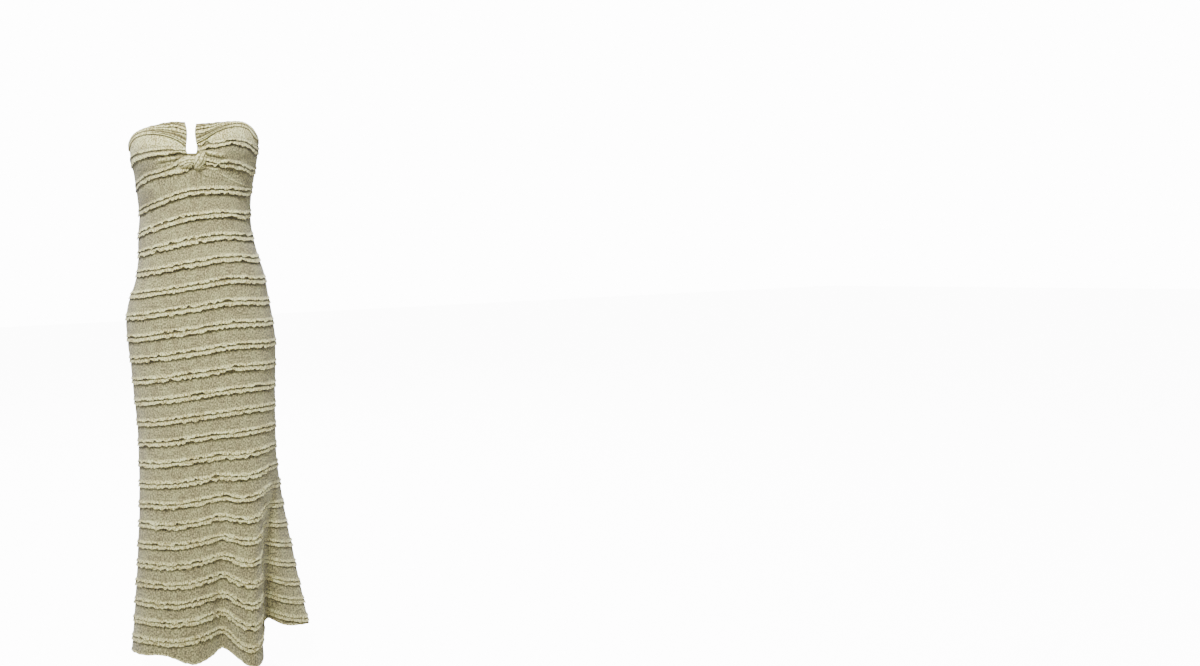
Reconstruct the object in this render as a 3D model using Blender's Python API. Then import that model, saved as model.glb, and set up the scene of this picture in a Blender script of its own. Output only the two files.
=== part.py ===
"""Strapless maxi dress in ribbed knit with pairs of narrow ruffles, hollow and as worn.

Metres, +Z up. The dress faces -Y and the wearer's left is at +X. The origin is the
middle of the top opening, halfway up between the back's top edge and the cups' peaks.
Every wall is a loft: a body section for each height, opened out below the knee into the
folds of the hem.
"""
import math
from collections import namedtuple

import bmesh
import bpy
from mathutils import Vector

# ---------------------------------------------------------------- driving sizes
WALL = 0.002             # plain cloth
SEAM_GAP = 0.0003        # between two pieces that are sewn together
RUFFLE_RISE = 0.0035     # how far a ruffle's lip stands off the cloth
RUFFLE_DEPTH = 0.011     # from the top of a ruffle to its lip
GROOVE_RISE = 0.0006     # cloth between the two ruffles of a pair
LIP_TURN = 0.001         # half the height over which a lip turns in
BAND_HEIGHT = 0.011      # elastic casing round the back's top edge
BAND_RISE = 0.0016       # how far the casing stands off the cloth
BAND_ROUND = 0.0012      # height over which its top edge is rounded
SECTION_POWER = 2.2      # 2 is an ellipse, more is squarer
FLARE_TOP = -0.69        # the skirt starts to open here
FLARE_HEIGHT = 0.48
FLARE_POWER = 1.25
STEPS_PER_COLUMN = 2     # wall faces between two named columns
SHARP_ANGLE = math.radians(50)
COLUMN_STEP = 0.02       # for the direction of a section, in columns
ANGLE_STEP = 0.3         # for the direction of a section, in degrees

# The body under the cloth, by height.
Section = namedtuple("Section", "z half_width front back centre_x")
SECTIONS = [
    Section(-1.200, 0.1615, 0.103, 0.121, 0.006),
    Section(-0.760, 0.1615, 0.103, 0.121, 0.003),
    Section(-0.680, 0.1620, 0.103, 0.110, 0.003),
    Section(-0.600, 0.1660, 0.105, 0.110, 0.003),
    Section(-0.530, 0.1700, 0.106, 0.116, 0.003),
    Section(-0.475, 0.1730, 0.107, 0.124, 0.002),
    Section(-0.425, 0.1715, 0.107, 0.129, -0.001),
    Section(-0.380, 0.1640, 0.107, 0.125, 0.000),
    Section(-0.334, 0.1520, 0.107, 0.115, 0.006),
    Section(-0.285, 0.1410, 0.105, 0.105, 0.004),
    Section(-0.235, 0.1345, 0.102, 0.097, 0.000),
    Section(-0.185, 0.1310, 0.102, 0.098, 0.002),
    Section(-0.137, 0.1350, 0.104, 0.102, 0.004),
    Section(-0.090, 0.1425, 0.107, 0.108, 0.007),
    Section(-0.050, 0.1500, 0.108, 0.115, 0.008),
    Section(-0.015, 0.1515, 0.098, 0.117, 0.008),
    Section(0.010, 0.1500, 0.082, 0.118, 0.008),
    Section(0.030, 0.1490, 0.069, 0.118, 0.008),
]

# Each column of cloth: where it lies on the body, in degrees from the centre front
# towards the wearer's left, and where it meets the hem. The hem swings in and out.
Column = namedtuple("Column", "name angle hem_x hem_y hem_z")
COLUMNS = [
    Column("right_seam", -90, -0.156, -0.018, -1.168),
    Column("right_lobe", -68, -0.190, -0.062, -1.172),
    Column("right_turn", -50, -0.166, -0.110, -1.168),
    Column("front_bay", -29, -0.108, -0.137, -1.162),
    Column("front_swell", -12, -0.046, -0.149, -1.177),
    Column("centre_front", 0, -0.006, -0.127, -1.170),
    Column("front_valley", 11, 0.022, -0.103, -1.163),
    Column("front_ridge", 31, 0.080, -0.150, -1.184),
    Column("ridge_edge", 44, 0.107, -0.120, -1.184),
    Column("fold_wall", 60, 0.108, -0.068, -1.175),
    Column("left_seam", 78, 0.118, -0.022, -1.167),
    Column("left_lobe_front", 93, 0.164, -0.024, -1.159),
    Column("left_lobe_tip", 114, 0.222, 0.016, -1.155),
    Column("left_lobe_back", 133, 0.172, 0.072, -1.166),
    Column("left_back", 155, 0.098, 0.108, -1.174),
    Column("back_ridge_left", 174, 0.035, 0.160, -1.184),
    Column("back_ridge_right", 190, -0.028, 0.172, -1.187),
    Column("back_valley", 211, -0.060, 0.094, -1.176),
    Column("right_back", 228, -0.118, 0.066, -1.174),
    Column("right_back_tip", 250, -0.186, 0.030, -1.176),
    Column("right_back_edge", 260, -0.184, -0.002, -1.172),
]
RIGHT_SEAM = 0
CENTRE_FRONT = 5
LEFT_SEAM = 10

# Height of the upper lip of each pair of ruffles, counted from the top edge, at nine
# places round the dress. They tilt: a ring lies lower at the right side than elsewhere.
Ring = namedtuple("Ring", "ring back right_back right right_front front_right front "
                  "front_left left left_back")
RINGS = [
    Ring(0, -0.038, -0.031, -0.058, -0.054, -0.050, -0.045, -0.045, -0.054, -0.029),
    Ring(1, -0.080, -0.082, -0.116, -0.110, -0.105, -0.095, -0.095, -0.099, -0.074),
    Ring(2, -0.131, -0.138, -0.172, -0.165, -0.153, -0.141, -0.138, -0.143, -0.120),
    Ring(3, -0.186, -0.190, -0.225, -0.217, -0.206, -0.196, -0.190, -0.195, -0.173),
    Ring(5, -0.285, -0.291, -0.314, -0.312, -0.307, -0.300, -0.290, -0.295, -0.283),
    Ring(8, -0.436, -0.440, -0.463, -0.461, -0.455, -0.449, -0.438, -0.441, -0.436),
    Ring(12, -0.633, -0.632, -0.659, -0.655, -0.649, -0.642, -0.634, -0.633, -0.631),
    Ring(16, -0.823, -0.814, -0.847, -0.839, -0.837, -0.829, -0.828, -0.817, -0.814),
    Ring(20, -1.011, -0.989, -1.022, -1.013, -1.011, -1.002, -1.009, -0.976, -0.992),
    Ring(23, -1.140, -1.102, -1.145, -1.132, -1.131, -1.121, -1.142, -1.094, -1.110),
]
RING_PLACES = [("left", 60), ("left_back", 125), ("back", 180), ("right_back", 236),
               ("right", 271), ("right", 285), ("right_front", 310), ("front_right", 335),
               ("front", 355), ("front_left", 385)]
BACK_RINGS = range(0, 24)
CUP_RINGS = range(0, 2)
FRONT_RINGS = range(2, 24)

# The top edge on each side, and the seam under the bust, by angle from the centre front.
TopEdge = namedtuple("TopEdge", "angle right left")
TOP_EDGE = [
    TopEdge(0, 0.019, 0.013),
    TopEdge(12, 0.023, 0.014),
    TopEdge(25, 0.020, 0.016),
    TopEdge(45, 0.014, 0.017),
    TopEdge(62, 0.005, 0.007),
    TopEdge(72, -0.004, -0.006),
    TopEdge(82, -0.013, -0.018),
    TopEdge(90, -0.018, -0.018),
    TopEdge(130, -0.016, -0.016),
    TopEdge(180, -0.024, -0.024),
]
UnderBust = namedtuple("UnderBust", "angle z")
UNDER_BUST = [
    UnderBust(0, -0.0975),
    UnderBust(12, -0.110),
    UnderBust(25, -0.120),
    UnderBust(45, -0.129),
    UnderBust(62, -0.133),
    UnderBust(90, -0.135),
]

# Lines across a cup, by the share of the way from its side seam to the keyhole: the
# lower edge of its band, and the lips of its two pairs of ruffles. They fan out from
# the knot. At the side seam the ruffles meet those of the back.
CupLine = namedtuple("CupLine", "share band upper_0 lower_0 upper_1 lower_1")
RIGHT_CUP_LINES = [
    CupLine(0.25, -0.013, -0.050, -0.066, -0.112, -0.124),
    CupLine(0.50, -0.005, -0.044, -0.058, -0.104, -0.116),
    CupLine(0.75, -0.010, -0.045, -0.057, -0.094, -0.106),
    CupLine(1.00, -0.035, -0.048, -0.060, -0.073, -0.087),
]
LEFT_CUP_LINES = [
    CupLine(0.25, 0.000, -0.040, -0.053, -0.093, -0.105),
    CupLine(0.50, 0.004, -0.031, -0.043, -0.083, -0.094),
    CupLine(0.75, -0.005, -0.034, -0.046, -0.079, -0.089),
    CupLine(1.00, -0.028, -0.040, -0.052, -0.072, -0.083),
]

# Half the width of the keyhole between the cups, by height.
NotchWidth = namedtuple("NotchWidth", "z half_width")
NOTCH = [
    NotchWidth(-0.100, 0.00015),
    NotchWidth(-0.068, 0.00015),
    NotchWidth(-0.058, 0.0150),
    NotchWidth(-0.042, 0.0125),
    NotchWidth(-0.016, 0.0085),
    NotchWidth(0.020, 0.0130),
]

# Soft folds in the cups and their bands, drawn together towards the knot.
CUP_FOLDS = 2
BAND_FOLDS = 4
FOLD_RISE = 0.0028
FOLD_START = 0.3         # share of the way from the side seam to the centre

BUST_FULLNESS = 0.013    # forward of the plain section, at each side of the bust
BUST_X = 0.078
BUST_Z = -0.050
BUST_SPREAD_X = 0.036
BUST_SPREAD_Z = 0.045
CLEFT_DEPTH = 0.006      # the cloth sinks this far between the cups
CLEFT_SPREAD = 0.028
SWELL_SIDES = 3.0        # how quickly the bust's swell fades out at the side seams

KNOT_CENTRE = Vector((0.0125, -0.1182, -0.0825))
KNOT_TILT = math.radians(26)
KNOT_SIDES = 24
KNOT_FOLDS = 6           # gathers round the knot
KNOT_FOLD_SHARE = 0.07   # their depth, against the knot's radius
KNOT_FOLD_TWIST = 38.0   # their turn, in radians a metre
# The knot along its own length: two turns of cloth with a waist between them.
KnotRing = namedtuple("KnotRing", "along radius")
KNOT_RINGS = [
    KnotRing(-0.0245, 0.0045),
    KnotRing(-0.0195, 0.0092),
    KnotRing(-0.0115, 0.0112),
    KnotRing(-0.0035, 0.0102),
    KnotRing(0.0030, 0.0080),
    KnotRing(0.0080, 0.0092),
    KnotRing(0.0145, 0.0105),
    KnotRing(0.0205, 0.0088),
    KnotRing(0.0245, 0.0045),
]
KNOT_FLATTEN = 0.92      # front to back, against top to bottom

CLOTH_COLOUR = (0.60, 0.56, 0.42, 1.0)
BAND_COLOUR = (0.64, 0.60, 0.45, 1.0)
KNOT_COLOUR = (0.66, 0.61, 0.47, 1.0)
CLOTH_ROUGHNESS = 0.9


# ---------------------------------------------------------------- curves
def curve_value(keys, values, key):
    """Value at key on a smooth curve through values, whose keys rise."""
    last = len(keys) - 1
    key = min(max(key, keys[0]), keys[last])
    i = 0
    while i < last - 1 and key > keys[i + 1]:
        i += 1

    def slope(j):
        low = max(j - 1, 0)
        high = min(j + 1, last)
        return (values[high] - values[low]) / (keys[high] - keys[low])

    span = keys[i + 1] - keys[i]
    t = (key - keys[i]) / span
    rise = values[i + 1] - values[i]
    start = slope(i) * span
    end = slope(i + 1) * span
    return values[i] + t * (start + t * (3 * rise - 2 * start - end + t * (start + end - 2 * rise)))


def table_value(rows, key_name, value_name, key):
    """Value of a named column in a table, at a key between its rows."""
    keys = [getattr(row, key_name) for row in rows]
    values = [getattr(row, value_name) for row in rows]
    return curve_value(keys, values, key)


def column_value(place, name):
    """A named value of COLUMNS at a place between two of them, on round the dress."""
    count = len(COLUMNS)
    first = math.floor(place)
    t = place - first

    def value(index):
        turns, row = divmod(index, count)
        wrap = 360 * turns if name == "angle" else 0
        return getattr(COLUMNS[row], name) + wrap

    before, start, end, after = (value(first + step) for step in (-1, 0, 1, 2))
    bend = start - end
    return 0.5 * (2 * start + t * (end - before
                  + t * (2 * before - 5 * start + 4 * end - after
                         + t * (3 * bend + after - before))))


def signed_power(value, power):
    return math.copysign(abs(value) ** power, value)


# ---------------------------------------------------------------- the worn form
def bust_swell(x, z):
    """How far the bust pushes the front forward, x from the centre line."""
    height = math.exp(-((z - BUST_Z) / BUST_SPREAD_Z) ** 2)
    full = BUST_FULLNESS * math.exp(-((abs(x) - BUST_X) / BUST_SPREAD_X) ** 2)
    cleft = CLEFT_DEPTH * math.exp(-(x / CLEFT_SPREAD) ** 2)
    return height * (full - cleft)


def body_point(angle, z):
    """Point (x, y) of the cloth on the body, at an angle from the centre front."""
    turn = math.radians(angle)
    across = signed_power(math.sin(turn), 2 / SECTION_POWER)
    along = signed_power(math.cos(turn), 2 / SECTION_POWER)
    x = table_value(SECTIONS, "z", "half_width", z) * across
    depth = table_value(SECTIONS, "z", "front" if along > 0 else "back", z)
    y = -depth * along
    if along > 0:
        y -= bust_swell(x, z) * min(1.0, along * SWELL_SIDES)
    return Vector((x + table_value(SECTIONS, "z", "centre_x", z), y))


def flare(z):
    """0 where the cloth lies on the body, 1 at the hem."""
    t = max(0.0, FLARE_TOP - z) / FLARE_HEIGHT
    return t ** FLARE_POWER


def cloth_point(place, z):
    """Point (x, y) of the outer face of the plain cloth in a column, at height z."""
    on_body = body_point(column_value(place, "angle"), z)
    at_hem = Vector((column_value(place, "hem_x"), column_value(place, "hem_y")))
    return on_body.lerp(at_hem, flare(z))


def frame_on(curve, place, step):
    """Point, direction along the section and outward direction on a section curve."""
    along = (curve(place + step) - curve(place - step)).normalized()
    return curve(place), along, Vector((along.y, -along.x))


def from_front(angle):
    """The angle from the centre front, -180 to 180, whatever full turns it holds."""
    return (angle + 180) % 360 - 180


def side_of(angle):
    return "left" if from_front(angle) > 0 else "right"


def ring_height(ring, angle):
    """Height of a ring's upper lip, on a smooth closed curve through RING_PLACES."""
    names = [name for name, _ in RING_PLACES]
    places = [place for _, place in RING_PLACES]
    heights = [table_value(RINGS, "ring", name, ring) for name in names]
    turned = (angle - places[0]) % 360 + places[0]
    return curve_value([places[-1] - 360] + places + [places[0] + 360],
                       [heights[-1]] + heights + [heights[0]], turned)


def top_edge(angle, side):
    """Height of the top edge: high over the cups, nearly level round the back."""
    return table_value(TOP_EDGE, "angle", side, abs(from_front(angle)))


def under_bust(angle):
    return table_value(UNDER_BUST, "angle", "z", abs(angle))


def pair_rows(upper, lower, ceiling):
    """Rows (height, rise) of a pair of ruffles, from the cloth above it to that below.

    The upper ruffle laps the top of the lower. It starts a little under the ceiling.
    """
    start = min(upper + min(RUFFLE_DEPTH, upper - lower), ceiling - LIP_TURN)
    return [(start, 0.0),
            (upper + LIP_TURN, RUFFLE_RISE),
            (upper - LIP_TURN, GROOVE_RISE),
            (lower + LIP_TURN, RUFFLE_RISE),
            (lower - LIP_TURN, 0.0)]


# ---------------------------------------------------------------- meshes
def material(name, colour):
    made = bpy.data.materials.new(name)
    made.use_nodes = True
    shader = made.node_tree.nodes["Principled BSDF"]
    shader.inputs["Base Color"].default_value = colour
    shader.inputs["Roughness"].default_value = CLOTH_ROUGHNESS
    shader.inputs["Metallic"].default_value = 0.0
    return made


def stitch(mesh, line_a, line_b):
    """Fill between two lines of vertices that run down, by steps down the higher one."""
    a = b = 0
    while a + 1 < len(line_a) or b + 1 < len(line_b):
        next_a = line_a[a + 1].co.z if a + 1 < len(line_a) else -math.inf
        next_b = line_b[b + 1].co.z if b + 1 < len(line_b) else -math.inf
        if next_a >= next_b:
            mesh.faces.new((line_a[a], line_a[a + 1], line_b[b]))
            a += 1
        else:
            mesh.faces.new((line_a[a], line_b[b + 1], line_b[b]))
            b += 1


def grid(mesh, columns):
    """Vertices and faces of an open sheet, given as columns of points."""
    made = [[mesh.verts.new(point) for point in column] for column in columns]
    for left, right in zip(made, made[1:]):
        for row in range(len(left) - 1):
            mesh.faces.new((left[row], left[row + 1], right[row + 1], right[row]))
    return made


def close_tube(mesh, loops):
    """Faces of a tube through closed loops of vertices, and of its two ends."""
    for left, right in zip(loops, loops[1:]):
        for i in range(len(left)):
            j = (i + 1) % len(left)
            mesh.faces.new((left[i], left[j], right[j], right[i]))
    mesh.faces.new(loops[0])
    mesh.faces.new(loops[-1])


def wall(name, outer, inner, finish, collection):
    """Closed wall between an outer and an inner sheet with the same columns."""
    mesh = bmesh.new()
    outside = grid(mesh, outer)
    inside = grid(mesh, inner)
    for row in (0, -1):
        rim = [(out[row], within[row]) for out, within in zip(outside, inside)]
        for (out, within), (next_out, next_within) in zip(rim, rim[1:]):
            mesh.faces.new((out, next_out, next_within, within))
    for column in (0, -1):
        stitch(mesh, outside[column], inside[column])
    return finish_object(name, mesh, finish, collection)


def finish_object(name, mesh, finish, collection):
    bmesh.ops.recalc_face_normals(mesh, faces=mesh.faces)
    data = bpy.data.meshes.new(name)
    mesh.to_mesh(data)
    mesh.free()
    data.materials.append(finish)
    data.shade_smooth()
    data.set_sharp_from_angle(angle=SHARP_ANGLE)
    made = bpy.data.objects.new(name, data)
    collection.objects.link(made)
    return made


def wall_point(curve, place, step, rise, shift, height):
    """Point of a wall: the section's point, moved out by rise and along by shift."""
    point, along, outward = frame_on(curve, place, step)
    flat = point + outward * rise + along * shift
    return Vector((flat.x, flat.y, height))


def panel_point(place, height, rise, shift):
    return wall_point(lambda u: cloth_point(u, height), place, COLUMN_STEP, rise, shift, height)


def body_wall_point(angle, height, rise, shift):
    return wall_point(lambda a: body_point(a, height), angle, ANGLE_STEP, rise, shift, height)


def end_shift(index, count):
    """Half a seam gap at the first and last column of a piece, 0 between them."""
    if index == 0:
        return SEAM_GAP / 2
    if index == count - 1:
        return -SEAM_GAP / 2
    return 0.0


# ---------------------------------------------------------------- the long panels
def panel_places(first, last):
    steps = (last - first) * STEPS_PER_COLUMN
    return [first + step / STEPS_PER_COLUMN for step in range(steps + 1)]


def panel(name, first, last, rings, start_height, finish, collection):
    """A long panel from one side seam to the other, with its rings of ruffles."""
    places = panel_places(first, last)
    outer = []
    inner = []
    for index, place in enumerate(places):
        angle = column_value(place, "angle")
        top = start_height(angle)
        hem = column_value(place, "hem_z")
        outer_rows = [(top, 0.0)]
        inner_heights = [top]
        for ring in rings:
            lip = ring_height(ring, angle)
            outer_rows += pair_rows(lip, lip - RUFFLE_DEPTH, outer_rows[-1][0])
            inner_heights.append(lip)
        outer_rows.append((hem, 0.0))
        inner_heights.append(hem)
        shift = end_shift(index, len(places))
        outer.append([panel_point(place, z, rise, shift) for z, rise in outer_rows])
        inner.append([panel_point(place, z, -WALL, shift) for z in inner_heights])
    return wall(name, outer, inner, finish, collection)


def back_panel(finish, collection):
    def start_height(angle):
        return top_edge(angle, side_of(angle)) - BAND_HEIGHT - SEAM_GAP

    return panel("back_panel", LEFT_SEAM, len(COLUMNS), BACK_RINGS, start_height,
                 finish, collection)


def front_panel(finish, collection):
    def start_height(angle):
        return under_bust(angle) - SEAM_GAP / 2

    return panel("front_panel", RIGHT_SEAM, LEFT_SEAM, FRONT_RINGS, start_height,
                 finish, collection)


# ---------------------------------------------------------------- the cups
Cup = namedtuple("Cup", "side first last seam_angle lines")
RIGHT_CUP = Cup("right", RIGHT_SEAM, CENTRE_FRONT, COLUMNS[RIGHT_SEAM].angle, RIGHT_CUP_LINES)
LEFT_CUP = Cup("left", CENTRE_FRONT, LEFT_SEAM, COLUMNS[LEFT_SEAM].angle, LEFT_CUP_LINES)


def cup_columns(cup):
    """(angle, shift) of each of a cup's columns, which are those of the panel under it.

    The shift leaves the seam's gap at the side. The keyhole leaves its own.
    """
    places = panel_places(cup.first, cup.last)
    columns = []
    for index, place in enumerate(places):
        at_side = place in (RIGHT_SEAM, LEFT_SEAM)
        shift = end_shift(index, len(places)) if at_side else 0.0
        columns.append((column_value(place, "angle"), shift))
    return columns


def notch_angle(z):
    """Angle from the centre line at which the keyhole's edge lies, at height z."""
    half_width = table_value(SECTIONS, "z", "half_width", z)
    share = max(table_value(NOTCH, "z", "half_width", z), SEAM_GAP / 2) / half_width
    return math.degrees(math.asin(share ** (SECTION_POWER / 2)))


def cup_point(cup, angle, z, rise, shift):
    """Point of a cup, whose columns are drawn aside to leave the keyhole."""
    edge = math.copysign(notch_angle(z), cup.seam_angle)
    drawn = cup.seam_angle + (angle - cup.seam_angle) * (cup.seam_angle - edge) / cup.seam_angle
    return body_wall_point(drawn, z, rise, shift)


def cup_line(cup, share, name, at_side):
    """Height of a line across a cup, which is at_side at its side seam."""
    shares = [0.0] + [line.share for line in cup.lines]
    heights = [at_side] + [getattr(line, name) for line in cup.lines]
    return curve_value(shares, heights, share)


def cup_lips(cup, share):
    """Heights of a cup's two pairs of lips at a share of the way to the keyhole."""
    pairs = []
    for ring in CUP_RINGS:
        at_side = ring_height(ring, cup.seam_angle)
        pairs.append((cup_line(cup, share, f"upper_{ring}", at_side),
                      cup_line(cup, share, f"lower_{ring}", at_side - RUFFLE_DEPTH)))
    return pairs


def band_bottom(cup, angle):
    """Height of the lower edge of a cup's band, which widens towards the keyhole."""
    at_side = top_edge(cup.seam_angle, cup.side) - BAND_HEIGHT
    return cup_line(cup, 1 - angle / cup.seam_angle, "band", at_side)


def fold_rows(above, below, folds, share, base=0.0):
    """Rows (height, rise) of the soft folds between two heights: crests and troughs."""
    spacing = (above - below) / (2 * folds)
    fullness = max(0.0, share - FOLD_START) / (1 - FOLD_START)
    rows = []
    for index in range(1, 2 * folds):
        crest = index % 2 == 1
        rise = min(FOLD_RISE, spacing / 2) * fullness if crest else 0.0
        rows.append((above - index * spacing, base + rise))
    return rows


def make_cup(cup, finish, collection):
    """One cup, from its side seam to the keyhole, between its band and the seam below."""
    outer = []
    inner = []
    for angle, shift in cup_columns(cup):
        share = 1 - angle / cup.seam_angle
        rows = [(band_bottom(cup, angle) - SEAM_GAP, 0.0)]
        inner_heights = [rows[0][0]]
        bottom = under_bust(angle) + SEAM_GAP / 2
        for upper, lower in cup_lips(cup, share):
            pair = pair_rows(upper, lower, rows[-1][0])
            if len(rows) > 1:
                rows += fold_rows(rows[-1][0], pair[0][0], CUP_FOLDS, share)
            rows += pair
            inner_heights += [upper, lower]
        rows += fold_rows(rows[-1][0], bottom, CUP_FOLDS, share)
        rows.append((bottom, 0.0))
        inner_heights.append(bottom)
        outer.append([cup_point(cup, angle, z, rise, shift) for z, rise in rows])
        inner.append([cup_point(cup, angle, z, -WALL, shift) for z in inner_heights])
    return wall("cup_" + cup.side, outer, inner, finish, collection)


# ---------------------------------------------------------------- the top casing
def casing(name, stations, folds, finish, collection):
    """A strip round part of the top edge.

    A station is (place a point of it, top, bottom, share of its folds' fullness).
    """
    outer = []
    inner = []
    for place_at, top, bottom, share in stations:
        rounded = top - BAND_ROUND
        rows = [(top, 0.0), (rounded, BAND_RISE)]
        rows += fold_rows(rounded, bottom, folds, share, BAND_RISE)
        rows.append((bottom, BAND_RISE))
        outer.append([place_at(z, rise) for z, rise in rows])
        inner.append([place_at(z, -WALL) for z in (rounded, bottom)])
    return wall(name, outer, inner, finish, collection)


def back_casing(finish, collection):
    places = panel_places(LEFT_SEAM, len(COLUMNS))
    stations = []
    for index, place in enumerate(places):
        angle = column_value(place, "angle")
        shift = end_shift(index, len(places))

        def place_at(height, rise, angle=angle, shift=shift):
            return body_wall_point(angle, height, rise, shift)

        top = top_edge(angle, side_of(angle))
        stations.append((place_at, top, top - BAND_HEIGHT, 0.0))
    return casing("casing_back", stations, 1, finish, collection)


def cup_casing(cup, finish, collection):
    stations = []
    for angle, shift in cup_columns(cup):
        def place_at(height, rise, angle=angle, shift=shift):
            return cup_point(cup, angle, height, rise, shift)

        share = 1 - angle / cup.seam_angle
        stations.append((place_at, top_edge(angle, cup.side), band_bottom(cup, angle), share))
    return casing("casing_" + cup.side, stations, BAND_FOLDS, finish, collection)


# ---------------------------------------------------------------- the knot
def knot_radius(ring, turn):
    """Radius of the knot at a ring of its own, with its gathers, which wind round it."""
    fold = math.cos(KNOT_FOLDS * turn + KNOT_FOLD_TWIST * ring.along)
    return ring.radius * (1 + KNOT_FOLD_SHARE * fold)


def centre_knot(finish, collection):
    """The cups' ends, looped through each other: a short thick twist of cloth."""
    mesh = bmesh.new()
    along = Vector((math.cos(KNOT_TILT), 0, math.sin(KNOT_TILT)))
    up = Vector((-math.sin(KNOT_TILT), 0, math.cos(KNOT_TILT)))
    out = Vector((0, -KNOT_FLATTEN, 0))
    loops = []
    for ring in KNOT_RINGS:
        loop = []
        for side in range(KNOT_SIDES):
            turn = 2 * math.pi * side / KNOT_SIDES
            spoke = up * math.cos(turn) + out * math.sin(turn)
            point = KNOT_CENTRE + along * ring.along + spoke * knot_radius(ring, turn)
            loop.append(mesh.verts.new(point))
        loops.append(loop)
    close_tube(mesh, loops)
    return finish_object("centre_knot", mesh, finish, collection)


# ---------------------------------------------------------------- the dress
def build():
    for old in list(bpy.data.objects):
        bpy.data.objects.remove(old, do_unlink=True)
    collection = bpy.data.collections.new("maxi_dress")
    bpy.context.scene.collection.children.link(collection)

    knit = material("ruffled_knit", CLOTH_COLOUR)
    turned_knit = material("turned_knit", BAND_COLOUR)
    gathered_knit = material("gathered_knit", KNOT_COLOUR)

    back_panel(knit, collection)
    front_panel(knit, collection)
    back_casing(turned_knit, collection)
    for cup in (RIGHT_CUP, LEFT_CUP):
        make_cup(cup, knit, collection)
        cup_casing(cup, turned_knit, collection)
    centre_knot(gathered_knit, collection)


build()
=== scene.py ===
"""Looks of the strapless maxi dress: rib knit, pairs of crimped ruffles, knotted bust."""
import math
from collections import namedtuple
from functools import partial

import bpy
import numpy as np
from mathutils import Matrix, Vector


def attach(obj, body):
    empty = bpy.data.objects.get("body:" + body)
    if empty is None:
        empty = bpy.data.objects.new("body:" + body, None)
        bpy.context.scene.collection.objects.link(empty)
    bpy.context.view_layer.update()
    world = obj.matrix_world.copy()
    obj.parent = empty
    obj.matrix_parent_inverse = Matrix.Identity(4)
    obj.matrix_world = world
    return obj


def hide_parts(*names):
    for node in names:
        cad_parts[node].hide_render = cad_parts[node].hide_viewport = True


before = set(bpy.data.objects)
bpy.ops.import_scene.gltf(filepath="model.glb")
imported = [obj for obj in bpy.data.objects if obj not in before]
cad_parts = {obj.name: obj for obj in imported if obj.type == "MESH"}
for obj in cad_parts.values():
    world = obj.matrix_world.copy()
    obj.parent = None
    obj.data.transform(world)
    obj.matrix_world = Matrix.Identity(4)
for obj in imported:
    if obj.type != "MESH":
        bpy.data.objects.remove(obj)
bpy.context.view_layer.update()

# ---------------------------------------------------------------- sizes, in metres
CLOTH = 0.0012           # thickness of the knit
SECTION_POWER = 2.2
FLARE_TOP = -0.69
FLARE_HEIGHT = 0.48
FLARE_POWER = 1.25
FOLD_TOP = -0.79
FOLD_HEIGHT = 0.17
COLUMN_STEP = 0.02
ANGLE_STEP = 0.3
FRONT_GRID = 0.004       # spacing of a panel's points
BACK_GRID = 0.0055
CUP_GRID = 0.0013
FRONT_CRIMP_GRID = 0.0016    # spacing along a ruffle
BACK_CRIMP_GRID = 0.0024
COLUMN_WIDTH = 0.045     # of cloth from one column to the next, about
CUP_WIDTH = 0.155        # along a cup, from its side seam to the keyhole
CUP_HEIGHT = 0.13
BAND_HEIGHT = 0.011
SHARP_ANGLE = math.radians(62)

# The body under the cloth, by height.
Section = namedtuple("Section", "z half_width front back centre_x")
SECTIONS = [
    Section(-1.200, 0.1615, 0.103, 0.121, 0.006),
    Section(-0.760, 0.1615, 0.103, 0.121, 0.003),
    Section(-0.680, 0.1620, 0.103, 0.110, 0.003),
    Section(-0.600, 0.1660, 0.105, 0.110, 0.003),
    Section(-0.530, 0.1700, 0.106, 0.116, 0.003),
    Section(-0.475, 0.1730, 0.107, 0.124, 0.002),
    Section(-0.425, 0.1715, 0.107, 0.129, -0.001),
    Section(-0.380, 0.1640, 0.107, 0.125, 0.000),
    Section(-0.334, 0.1520, 0.107, 0.115, 0.006),
    Section(-0.285, 0.1410, 0.105, 0.105, 0.004),
    Section(-0.235, 0.1345, 0.102, 0.097, 0.000),
    Section(-0.185, 0.1310, 0.102, 0.098, 0.002),
    Section(-0.137, 0.1350, 0.104, 0.102, 0.004),
    Section(-0.090, 0.1425, 0.107, 0.108, 0.007),
    Section(-0.050, 0.1500, 0.108, 0.115, 0.008),
    Section(-0.015, 0.1515, 0.098, 0.117, 0.008),
    Section(0.010, 0.1500, 0.082, 0.118, 0.008),
    Section(0.030, 0.1490, 0.069, 0.118, 0.008),
]

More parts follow.
